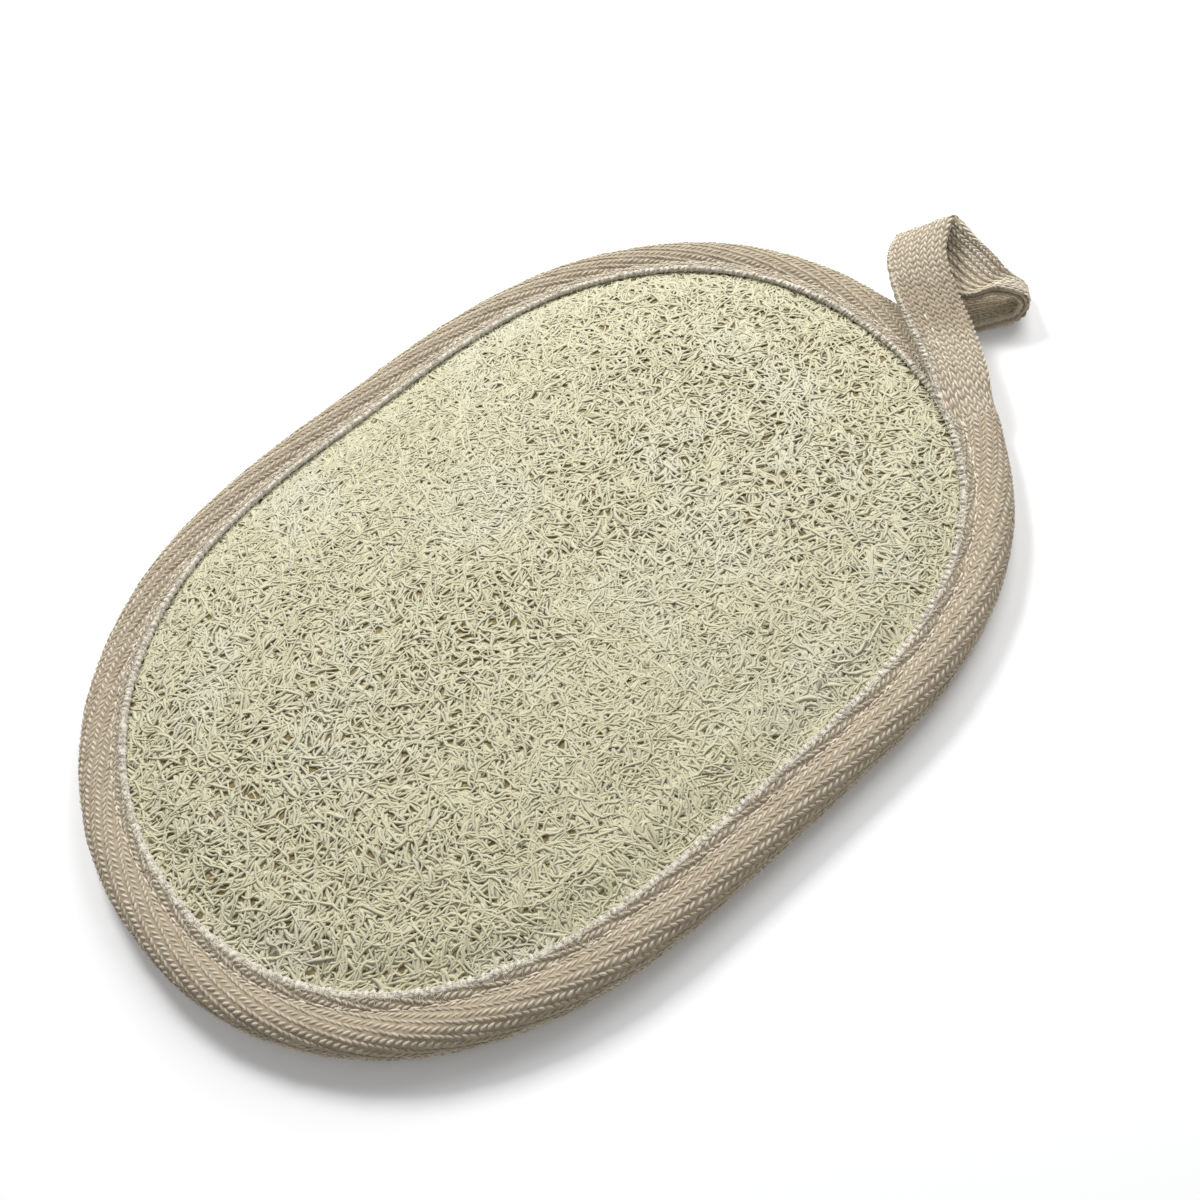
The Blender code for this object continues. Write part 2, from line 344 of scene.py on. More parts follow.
def strands(name: str, path: Array, up: Array, width: Array, height: Array, sides: int) -> bpy.types.Object:
    """Lays one thin closed tube along each row of points.

    Args:
        name: Name of the new object.
        path: Points, as strands by rings by three.
        up: The side of each ring that faces up, of the same shape.
        width: Half widths, as strands by rings.
        height: Half heights, as strands by rings.
        sides: Sides of the tube.

    Returns:
        The new object, pressed flat where it meets z = 0, with "run" from 0 to 1 along each strand.
    """
    count, rings = path.shape[:2]
    pattern = to_object(tube(sides, rings), name)
    shape = np.array([corner.co for corner in pattern.data.vertices])
    ring = np.rint((shape[:, 2] + 0.5) * (rings - 1)).astype(int)
    copies = pattern.modifiers.new("copies", "ARRAY")
    copies.count = count
    copies.use_relative_offset = False
    bake_modifiers(pattern)
    along = unit(np.gradient(path, axis=1))
    side = unit(np.cross(up, along))
    top = np.cross(along, side)
    across = side[:, ring] * (shape[:, 0] * width[:, ring])[..., None]
    rise = top[:, ring] * (shape[:, 1] * height[:, ring])[..., None]
    points = path[:, ring] + across + rise
    points[..., 2] = np.maximum(points[..., 2], 0)
    pattern.data.vertices.foreach_set("co", np.ascontiguousarray(points, dtype=np.float32).ravel())
    pattern.data.update()
    mark(pattern, "run", np.tile(ring / (rings - 1), count))
    pattern["points_a_strand"] = len(shape)
    return pattern


def tint(piece: bpy.types.Object, name: str, values: Array) -> None:
    """Stores one number for each strand of a piece."""
    mark(piece, name, np.repeat(values, piece["points_a_strand"]))


def corners(piece: bpy.types.Object) -> Array:
    """Corner points of a piece, one row for each."""
    points = np.empty(len(piece.data.vertices) * 3, dtype=np.float32)
    piece.data.vertices.foreach_get("co", points)
    return points.reshape(-1, 3)


def rest_on_floor(piece: bpy.types.Object) -> None:
    """Keeps every point of a piece on the floor or above it."""
    points = corners(piece)
    points[:, 2] = np.maximum(points[:, 2], 0)
    piece.data.vertices.foreach_set("co", points.ravel())
    piece.data.update()


# Finishes


class Wire:
    """A socket that passes a value on, with arithmetic that adds Math nodes."""

    def __init__(self, shading: "Shading", socket: bpy.types.NodeSocket) -> None:
        """Keeps the socket and the material that it belongs to."""
        self.shading, self.socket = shading, socket

    def maths(self, operation: str, *values: "Wire | float") -> "Wire":
        """One Math node over some values."""
        return self.shading.add("ShaderNodeMath", {"operation": operation}, dict(enumerate(values)))

    def __add__(self, other: "Wire | float") -> "Wire":
        """Sum."""
        return self.maths("ADD", self, other)

    def __radd__(self, other: float) -> "Wire":
        """Sum, the other way round."""
        return self.maths("ADD", other, self)

    def __sub__(self, other: "Wire | float") -> "Wire":
        """Difference."""
        return self.maths("SUBTRACT", self, other)

    def __rsub__(self, other: float) -> "Wire":
        """Difference, the other way round."""
        return self.maths("SUBTRACT", other, self)

    def __mul__(self, other: "Wire | float") -> "Wire":
        """Product."""
        return self.maths("MULTIPLY", self, other)

    def __rmul__(self, other: float) -> "Wire":
        """Product, the other way round."""
        return self.maths("MULTIPLY", other, self)

    def wave(self) -> "Wire":
        """Sine."""
        return self.maths("SINE", self)

    def within(self, low: float, high: float) -> "Wire":
        """Share of the way from low to high, held between 0 and 1."""
        sockets = {"Value": self, "From Min": low, "From Max": high}
        return self.shading.add("ShaderNodeMapRange", {"clamp": True}, sockets)


class Shading:
    """A material in the making."""

    def __init__(self, name: str, **constants: float | Colour) -> None:
        """Starts a material with a Principled shader and sets sockets that are the same all over.

        Args:
            name: Name of the material.
            **constants: Values by socket name, with _ for each space.
        """
        self.material = bpy.data.materials.new(name)
        self.material.use_nodes = True
        self.tree = self.material.node_tree
        self.shader = self.tree.nodes["Principled BSDF"]
        for socket, value in constants.items():
            self.shader.inputs[socket.replace("_", " ")].default_value = value

    def add(
        self, kind: str, settings: dict[str, object], sockets: dict[str | int, object], output: str | int = 0
    ) -> Wire:
        """Adds a node.

        Args:
            kind: Type of the node.
            settings: Its settings, which are set first.
            sockets: A value or a wire for each named or numbered input.
            output: The output to read.

        Returns:
            The output as a wire.
        """
        node = self.tree.nodes.new(kind)
        for setting, value in settings.items():
            setattr(node, setting, value)
        for key, value in sockets.items():
            if isinstance(value, Wire):
                self.tree.links.new(value.socket, node.inputs[key])
            else:
                node.inputs[key].default_value = value
        return Wire(self, node.outputs[output])

    def place(self) -> Wire:
        """Place on the object, in metres."""
        return self.add("ShaderNodeTexCoord", {}, {}, "Object")

    def noise(self, scale: float, detail: float = 2.0, stretch: Colour = (1, 1, 1)) -> Wire:
        """Cloudy noise between 0 and 1, with so many blots a metre."""
        spot = self.add("ShaderNodeMapping", {}, {"Vector": self.place(), "Scale": stretch})
        return self.add("ShaderNodeTexNoise", {}, {"Vector": spot, "Scale": scale, "Detail": detail})

    def marked(self, name: str) -> Wire:
        """Number that the mesh stores under a name."""
        return self.add("ShaderNodeAttribute", {"attribute_name": name}, {}, "Fac")

    def blend(self, share: Wire, first: Colour | Wire, second: Colour | Wire) -> Wire:
        """Mixes two colours.

        Args:
            share: Share of the second colour.
            first: The first colour.
            second: The second colour.

        Returns:
            The mixed colour.
        """
        sockets = {MIX_SHARE: share, MIX_FIRST: first, MIX_SECOND: second}
        sockets = {key: (*value, 1) if isinstance(value, tuple) else value for key, value in sockets.items()}
        return self.add("ShaderNodeMix", {"data_type": "RGBA"}, sockets, MIX_RESULT)

    def feed(self, socket: str, wire: Wire) -> None:
        """Links a wire to a socket of the shader."""
        self.tree.links.new(wire.socket, self.shader.inputs[socket])

    def bump(self, height: Wire, strength: float, distance: float) -> None:
        """Raises the surface by a height between 0 and 1."""
        sockets = {"Height": height, "Strength": strength, "Distance": distance}
        self.feed("Normal", self.add("ShaderNodeBump", {}, sockets))


@dataclass(frozen=True)
class LoofahFinish:
    """Dry plant fibre: pale on top, silvery where bruised; painted shade turns its low fibres and the holes of its
    body olive-brown.
    """

    pale: Colour = (0.68, 0.645, 0.455)
    straw: Colour = (0.54, 0.495, 0.31)
    painted_depth_shade: Colour = (0.50, 0.445, 0.26)
    bruised: Colour = (0.66, 0.645, 0.52)
    painted_hole_shade: Colour = (0.27, 0.21, 0.09)
    patch_scale: float = 55.0
    grain_scale: float = 900.0
    hole_scale: float = 420.0
    patch_span: tuple[float, float] = (0.52, 0.7)
    depth_span: tuple[float, float] = (0.45, 1.0)
    hole_span: tuple[float, float] = (0.2, 0.42)
    bruised_share: float = 0.4
    painted_depth_share: float = 0.5
    roughness: tuple[float, float] = (0.55, 0.8)

    def material(self) -> bpy.types.Material:
        """Builds the finish of the fibres."""
        look = Shading("loofah_fibre", Sheen_Weight=0.35, Sheen_Roughness=0.5, Specular_IOR_Level=0.3)
        tone, depth = look.marked("tone"), look.marked("depth")
        colour = look.blend(tone, self.straw, self.pale)
        bruises = look.noise(self.patch_scale).within(*self.patch_span)
        colour = look.blend(bruises * self.bruised_share, colour, self.bruised)
        # Painted shade: fibres that lie low over the body are darkened towards olive-brown.
        colour = look.blend((1 - depth).within(*self.depth_span) * self.painted_depth_share, colour, self.painted_depth_shade)
        look.feed("Base Color", colour)
        grain = look.noise(self.grain_scale, 3.0)
        low, high = self.roughness
        look.feed("Roughness", grain * (high - low) + low)
        look.bump(grain, 0.35, 0.1 * MM)
        return look.material

    def body(self) -> bpy.types.Material:
        """Builds the finish of the matted body under the fibres."""
        look = Shading("loofah_body", Roughness=0.95, Specular_IOR_Level=0.1)
        blots = look.noise(self.hole_scale, 3.0)
        # The body is olive-brown, partly the fibre's own colour and partly painted shade; its darkest blots paint
        # shade into the holes between fibres.
        look.feed("Base Color", look.blend(blots.within(*self.hole_span), self.painted_depth_shade, self.painted_hole_shade))
        look.bump(look.noise(self.grain_scale, 4.0, (1, 3, 1)), 0.8, 0.4 * MM)
        return look.material


@dataclass(frozen=True)
class CottonFinish:
    """Cotton yarn: a tone for each strand, which paints light and shade on the weave, soft dirt in patches and the
    twist of its plies.
    """

    name: str
    pale: Colour
    shade: Colour
    plies: float = 9.0
    patch_scale: float = 90.0
    fuzz_scale: float = 1800.0
    wear_and_shade_shares: tuple[float, float, float] = (0.6, 0.25, 0.25)
    wear_and_shade_span: tuple[float, float] = (0.15, 0.95)
    roughness: tuple[float, float] = (0.8, 0.95)

    def material(self) -> bpy.types.Material:
        """Builds the finish."""
        look = Shading(self.name, Sheen_Weight=0.35, Sheen_Roughness=0.4, Specular_IOR_Level=0.2)
        tone = look.marked("tone")
        patches = look.noise(self.patch_scale, 3.0)
        fuzz = look.noise(self.fuzz_scale, 2.0)
        of_tone, of_patches, of_fuzz = self.wear_and_shade_shares
        # The strand's tone carries the weave's painted light and shade; the patches and the fuzz are dirt and wear.
        wear_and_shade = tone * of_tone + patches * of_patches + fuzz * of_fuzz
        look.feed("Base Color", look.blend(wear_and_shade.within(*self.wear_and_shade_span), self.shade, self.pale))
        low, high = self.roughness
        look.feed("Roughness", fuzz * (high - low) + low)
        twist = (look.marked("run") * (2 * math.pi * self.plies)).wave()
        look.bump(twist * 0.25 + fuzz, 0.4, 0.08 * MM)
        return look.material


@dataclass(frozen=True)
class GroundClothFinish:
    """The plain ground of a cloth, seen between the yarns that lie on it."""

    name: str
    pale: Colour
    shade: Colour
    blot_scale: float = 1100.0
    blot_span: tuple[float, float] = (0.3, 0.7)

    def material(self) -> bpy.types.Material:
        """Builds the finish."""
        look = Shading(self.name, Roughness=0.95, Specular_IOR_Level=0.1, Sheen_Weight=0.2)
        blots = look.noise(self.blot_scale, 3.0)
        look.feed("Base Color", look.blend(blots.within(*self.blot_span), self.shade, self.pale))
        look.bump(blots, 0.6, 0.15 * MM)
        return look.material


@dataclass(frozen=True)
class FloorFinish:
    """Plain pale floor."""

    colour: Colour = (0.96, 0.96, 0.96)
    glow: float = 0.05

    def material(self) -> bpy.types.Material:
        """Builds the finish."""
        look = Shading("pale_floor", Roughness=0.8, Specular_IOR_Level=0.1, Emission_Strength=self.glow)
        look.shader.inputs["Base Color"].default_value = (*self.colour, 1)
        return look.material


TAPE_YARN = CottonFinish("tape_yarn", (0.77, 0.70, 0.565), (0.40, 0.33, 0.235))
SELVEDGE_YARN = CottonFinish("selvedge_yarn", (0.76, 0.71, 0.61), (0.63, 0.58, 0.48), plies=3)
SEAM_YARN = CottonFinish("seam_yarn", (0.82, 0.76, 0.63), (0.60, 0.53, 0.40), plies=7)
TERRY_YARN = CottonFinish("terry_yarn", (0.82, 0.77, 0.66), (0.62, 0.55, 0.44), plies=5)
# The tape's ground is darker than its yarn: painted shade in the pits between the floats.
SHADED_TAPE_GROUND = GroundClothFinish("tape_ground", (0.46, 0.385, 0.275), (0.33, 0.26, 0.175))
TERRY_GROUND = GroundClothFinish("terry_ground", (0.66, 0.60, 0.50), (0.48, 0.42, 0.33))


def dress(piece: bpy.types.Object, look: bpy.types.Material, slot: Slot, *stands_for: str) -> bpy.types.Object:
    """Gives a piece its finish and its place in the model.

    Args:
        piece: The finished mesh object.
        look: Its material.
        slot: The record's slot for it; not used.
        *stands_for: Solids that it replaces.

    Returns:
        The same piece.
    """
    piece.data.materials.clear()
    piece.data.materials.append(look)
    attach(piece, "root")
    if stands_for:
        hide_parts(*stands_for)
    triangles = len(piece.data.loops) - 2 * len(piece.data.polygons)
    LOG.info("%s: %d triangles", piece.name, triangles)
    return piece


# Loofah


@dataclass(frozen=True)
class FibreLayer:
    """One layer of fibres: how many, how finely cut, how high they lie, and how thick and long they are.

    Heights are shares of the nap. Half widths and lengths are spans in millimetres.
    """

    name: str
    count: int
    rings: int
    low: float
    high: float
    half_width: tuple[float, float]
    length: tuple[float, float]
    seed: int


@dataclass(frozen=True)
class FibreShape:
    """How a fibre bends, waves, sinks, rolls and tapers. Spans hold the least and the greatest value."""

    bend: float = 115.0
    wiggle: float = 0.85
    wiggle_rate: tuple[float, float] = (3, 9)
    sag: tuple[float, float] = (0.35, 0.8)
    wave: float = 0.1
    wave_rate: tuple[float, float] = (5, 14)
    heights: tuple[float, float] = (-0.1, 1.0)
    roll: float = 0.1
    twist: float = 0.25
    wide_share: float = 0.03
    wide_factor: float = 1.7
    tip_width: float = 0.45
    tip_margin: float = 0.06
    unevenness: float = 0.22
    uneven_rate: tuple[float, float] = (5, 11)
    flatness: tuple[float, float] = (0.28, 0.5)
    most_thickness: float = 0.085 * MM
    tone: tuple[float, float] = (0.6, 0.19)

    def widths(self, dice: Dice, layer: FibreLayer, phase: Array, t: Array) -> Array:
        """Half widths along the fibres, which taper to both ends and are uneven between.

        Args:
            dice: Random numbers, one for each fibre.
            layer: The layer that the fibres belong to.
            phase: Where each fibre's waves start.
            t: Shares along a fibre.

        Returns:
            One row for each fibre.
        """
        girth = dice.between(*layer.half_width) * MM
        girth = np.where(dice.rng.random(dice.shape) < self.wide_share, girth * self.wide_factor, girth)
        swell = np.sin(math.pi * np.clip(t, self.tip_margin, 1 - self.tip_margin)) ** 0.5
        uneven = 1 + self.unevenness * np.sin(2 * phase + t * dice.between(*self.uneven_rate))
        return girth * (self.tip_width + (1 - self.tip_width) * swell) * uneven


@dataclass
class LoofahMat:
    """The pressed loofah: a crowned body with layers of flat, curved fibres on it."""

    outline: Outline
    top: Profile = Profile(
        ((1.5, 3.3), (2.6, 4.9), (4.8, 4.7), (6.2, 4.15), (8.7, 5.15), (18, 6.7), (36, 7.9), (66, 8.3))
    )
    floor: Profile = Profile(((1.5, 3.3), (2.6, 3.1), (8.7, 3.1), (18, 2.2), (66, 2.2)))
    edge_insets: tuple[float, ...] = (18 * MM, 15 * MM, 12 * MM, 9 * MM, 7.5 * MM, 6.2 * MM, 5 * MM)
    middle_shares: tuple[float, ...] = (0.0, 0.3, 0.55, 0.75, 0.9)
    cells_round: int = 96
    least_height: float = 2.2 * MM
    body_drop: float = 0.28 * MM
    fibre_drop: float = 0.16 * MM
    nap: float = 0.23 * MM
    edge_nap_share: float = 0.8
    nap_insets: tuple[float, float] = (8.5 * MM, 15.0 * MM)
    start_inset: float = 7.9 * MM
    start_jitter: float = 0.35 * MM
    least_inset: float = 7.2 * MM
    crowding: float = 0.485
    stray: float = 0.9
    grain_waves: int = 9
    grain_span: tuple[float, float] = (11 * MM, 34 * MM)
    grain_turn: float = 0.6
    grain_seed: int = 5
    fan_size: int = 7
    fan_share: float = 0.04
    fan_spread: float = 0.75
    fan_jitter: float = 0.25 * MM
    shape: FibreShape = FibreShape()
    layers: tuple[FibreLayer, ...] = (
        FibreLayer("loofah_fibres_low", 5600, 5, 0.0, 0.35, (0.42, 0.64), (3.0, 6.0), 11),
        FibreLayer("loofah_fibres_middle", 7000, 5, 0.25, 0.65, (0.26, 0.42), (2.8, 5.6), 23),
        FibreLayer("loofah_fibres_top", 6200, 6, 0.5, 0.95, (0.17, 0.36), (3.0, 6.6), 37),
    )

    def build(self, finish: LoofahFinish) -> list[bpy.types.Object]:
        """Builds the body and its fibres.

        Args:
            finish: The looks of the fibre.

        Returns:
            The body and one piece for each layer.
        """
        body = dress(self.body(), finish.body(), Slot.LOOFAH, "loofah_mat")
        look = finish.material()
        return [body] + [dress(self.fibres(layer), look, Slot.LOOFAH, "loofah_mat") for layer in self.layers]

    def body(self) -> bpy.types.Object:
        """Builds the crowned body, closed at its edge.

        Returns:
            The body, whose rows go from the middle over the top, round the edge and back underneath.
        """
        over = [(share, 1) for share in self.middle_shares] + [(inset, 0) for inset in self.edge_insets]
        rows = np.array([(*row, 1) for row in over] + [(*row, 0) for row in over[::-1]])

        def place(along: Array, across: Array) -> Array:
            """Points of the body.

            Args:
                along: Shares of the way round.
                across: Shares of the way over the rows.

            Returns:
                One row for each point.
            """
            angle = 2 * math.pi * (along % 1)
            value, central, upper = rows[np.rint(across * (len(rows) - 1)).astype(int)].T
            spine = self.outline.spine(angle)
            rim = self.outline.inside(angle, np.where(central, self.edge_insets[0], value))
            spot = np.where(central[:, None], spine + (rim - spine) * value[:, None], rim)
            inset = self.outline.inset_of(*spot.T)
            height = np.where(upper, self.top.at(inset) - self.body_drop, self.floor.at(inset))
            return np.column_stack([spot, np.maximum(height, self.least_height)])

        return cloth_grid("loofah_body", place, (self.cells_round, len(rows) - 1))

    def grain(self, x: Array, y: Array) -> Array:
        """Direction that fibres keep to near a place. It wanders over the mat.

        Args:
            x: Places along the pad.
            y: Places across it.

        Returns:
            One angle for each place.
        """
        rng = np.random.default_rng(self.grain_seed)
        total = np.zeros_like(x)
        for _ in range(self.grain_waves):
            turn, phase = rng.uniform(0, 2 * math.pi, 2)
            wave = 2 * math.pi / rng.uniform(*self.grain_span)
            total = total + np.sin(wave * (x * math.cos(turn) + y * math.sin(turn)) + phase)
        return total * self.grain_turn

    def starts(self, layer: FibreLayer, dice: Dice) -> tuple[Array, Array]:
        """Spreads the fibres of a layer evenly over the mat, and a few of them in fans.

        Args:
            layer: The layer.
            dice: Its random numbers.

        Returns:
            The middle of each fibre and its heading.
        """
        spot = self.outline.scatter(layer.count, self.start_inset, self.crowding)
        spot += dice.rng.normal(0, self.start_jitter, spot.shape)
        heading = self.grain(*spot.T) + dice.rng.normal(0, self.stray, layer.count)
        heading += math.pi * dice.rng.integers(0, 2, layer.count)
        fans = int(layer.count * self.fan_share / self.fan_size)
        for fan in dice.rng.choice(layer.count // self.fan_size, fans, replace=False) * self.fan_size:
            members = slice(fan, fan + self.fan_size)
            spot[members] = spot[fan] + dice.rng.normal(0, self.fan_jitter, (self.fan_size, 2))
            heading[members] = heading[fan] + np.linspace(-1, 1, self.fan_size) * self.fan_spread
        return spot, heading

    def nap_at(self, inset: Array) -> Array:
        """Height of the fibres over the body, which is less where the tape presses the mat."""
        ease = np.clip((inset - self.nap_insets[0]) / (self.nap_insets[1] - self.nap_insets[0]), 0, 1)
        return self.nap * (self.edge_nap_share + (1 - self.edge_nap_share) * ease)

    def depth_of(self, piece: bpy.types.Object) -> Array:
        """Share of the nap that each corner point of a piece rises over the body.

        Args:
            piece: The fibres.

        Returns:
            One share for each corner point.
        """
        x, y, z = corners(piece).T
        inset = self.outline.inset_of(x, y)
        return np.clip((z - self.top.at(inset) + self.fibre_drop) / self.nap_at(inset), 0, 1)

    def fibres(self, layer: FibreLayer) -> bpy.types.Object:
        """Lays one layer of fibres, each curved, twisted and sunk at its ends.

        Args:
            layer: The layer.

        Returns:
            One object with all of them.
        """
        shape, dice = self.shape, Dice(layer.seed, layer.count)
        t = np.linspace(0, 1, layer.rings)[None, :]
        spot, heading = self.starts(layer, dice)
        length = dice.between(*layer.length) * MM
        bend = dice.about(0, shape.bend) * length
        phase = dice.between(0, 2 * math.pi)
        wiggle = dice.between(0, shape.wiggle) * np.sin(phase + t * dice.between(*shape.wiggle_rate))
        turn = heading[:, None] + bend * (t - 0.5) + wiggle
        step = length / (layer.rings - 1)
        x, y = (np.cumsum(side(turn) * step, axis=1) for side in (np.cos, np.sin))
        x, y = (way - way.mean(axis=1, keepdims=True) + spot[:, k, None] for k, way in enumerate((x, y)))
        inset = self.outline.inset_of(x, y)
        pull = 1 - np.clip(self.least_inset - inset, 0, None) / np.hypot(x, y).clip(1 * MM)
        x, y = x * pull, y * pull
        inset = self.outline.inset_of(x, y)
        level = dice.between(layer.low, layer.high)
        sag = dice.between(*shape.sag) * np.abs(2 * t - 1) ** 3
        wave = shape.wave * np.sin(phase + t * dice.between(*shape.wave_rate))
        height = self.nap_at(inset) * np.clip(level - sag + wave, *shape.heights)
        z = self.top.at(inset) - self.fibre_drop + height
        roll = dice.about(0, shape.roll) + (t - 0.5) * dice.about(0, shape.twist)
        side = np.stack([-np.sin(turn), np.cos(turn), np.zeros_like(turn)], axis=-1)
        up = side * np.sin(roll)[..., None] + np.array([0, 0, 1]) * np.cos(roll)[..., None]
        width = shape.widths(dice, layer, phase, t)
        thick = np.minimum(width * dice.between(*shape.flatness), shape.most_thickness)
        made = strands(layer.name, np.stack([x, y, z], axis=-1), up, width, thick, sides=3)
        tint(made, "tone", np.clip(dice.about(*shape.tone), 0, 1))
        # The finish reads this depth to paint shade on the low fibres.
        mark(made, "depth", self.depth_of(made))
        return made


# Tape


@dataclass(frozen=True)
class Ground:
    """The face of a cloth, for yarn to lie on: where its points are, its length and its height over the middle."""

    place: Place
    length: float
    lift: float

    def above(self, along: Array, across: Array, lift: Array) -> Array:
        """Points at a height over the face."""
        return self.place(along, across, self.lift + lift)

    def raised(self, along: Array, across: Array, lift: Array) -> tuple[Array, Array]:
        """Points at a height over the face, and the direction out of it."""
        points = self.above(along, across, lift)
        return points, unit(self.above(along, across, lift + TINY_LIFT) - points)


@dataclass(frozen=True)
class Herringbone:
    """Weave of columns of slanting floats that meet in Vs.

    The column's shift, the arm's lag and the row's jitter are shares of a row, and the arm's offset and slant
    are shares of a column.
    """

    column: float = 1.34 * MM
    pitch: float = 1.22 * MM
    half_run: float = 0.76 * MM
    half_width: float = 0.33 * MM
    rise: float = 0.22 * MM
    sunk: float = 0.12 * MM
    rings: int = 4
    bias: float = 0.0
    # Painted light and shade: one arm of each V is made lighter and the other darker, as the light falls on them.
    painted_arm_shade: float = 0.08
    # Tone along the tape; where it changes, it paints light and shade, as on the loop.
    tones: tuple[tuple[float, float], ...] = ((0.0, 0.62), (1.0, 0.62))
    tone_spread: float = 0.13
    # Painted shade: floats are darkened over the outer half of the face, towards the rim.
    painted_rim_shade: float = 0.0
    margin: float = 0.4 * MM
    column_shift: float = 0.25
    arm_lag: float = 0.25
    arm_offset: float = 0.26
    arm_slant: float = 0.17
    row_jitter: float = 0.06
    side_jitter: float = 0.03 * MM
    height_jitter: float = 0.025 * MM
    girth: tuple[float, float] = (0.85, 1.12)
    tip_width: float = 0.55
    flatness: float = 0.6
    seed: int = 3

    def floats(self, name: str, ground: Ground, across: tuple[float, float]) -> bpy.types.Object:
        """Covers the face of a cloth with floats.

        Args:
            name: Name of the new object.
            ground: The face.
            across: Where the weave starts and ends across it.

        Returns:
            One object with all floats, with their tones.
        """
        start, end = across
        rows = round(ground.length / self.pitch)
        columns = round((end - start) / self.column)
        wide = (end - start) / columns
        spare = 1 if self.bias else 0
        marks = np.meshgrid(range(rows), range(columns + spare), (-1, 1), indexing="ij")
        row, column, arm = (a.ravel()[:, None] for a in marks)
        dice = Dice(self.seed, len(row))
        t = np.linspace(-1, 1, self.rings)[None, :]
        shift = dice.rng.uniform(-self.column_shift, self.column_shift, columns + spare)[column]
        lag = self.arm_lag * (arm > 0)
        middle = (row + 0.5 + shift + lag + dice.about(0, self.row_jitter)) * ground.length / rows
        bias = round(self.bias * ground.length / wide) * wide / ground.length
        base = ((column + 0.5) * wide + bias * middle) % ((columns + spare) * wide) - spare * wide / 2
        side = arm * (self.arm_offset - self.arm_slant * t) * wide
        spread = start + base + side + dice.about(0, self.side_jitter)
        spread = np.clip(spread, start - self.margin, end + self.margin)
        height = self.rise * (1 - t**2) - self.sunk + dice.about(0, self.height_jitter)
        points, up = ground.raised(middle + t * self.half_run, spread, height)
        swell = self.tip_width + (1 - self.tip_width) * (1 - t**2) ** 0.5
        width = self.half_width * dice.between(*self.girth) * swell
        made = strands(name, points, up, width, width * self.flatness, sides=3)
        # Painted light on the arms; the tones along the tape can paint light and shade as well.
        tone = np.interp(middle / ground.length, *np.array(self.tones).T) + self.painted_arm_shade * arm
        # Painted shade, darker towards the rim.
        tone -= self.painted_rim_shade * np.clip(2 * base / (end - start) - 1, 0, 1)
        tint(made, "tone", np.clip(tone + dice.about(0, self.tone_spread), 0, 1))
        return made


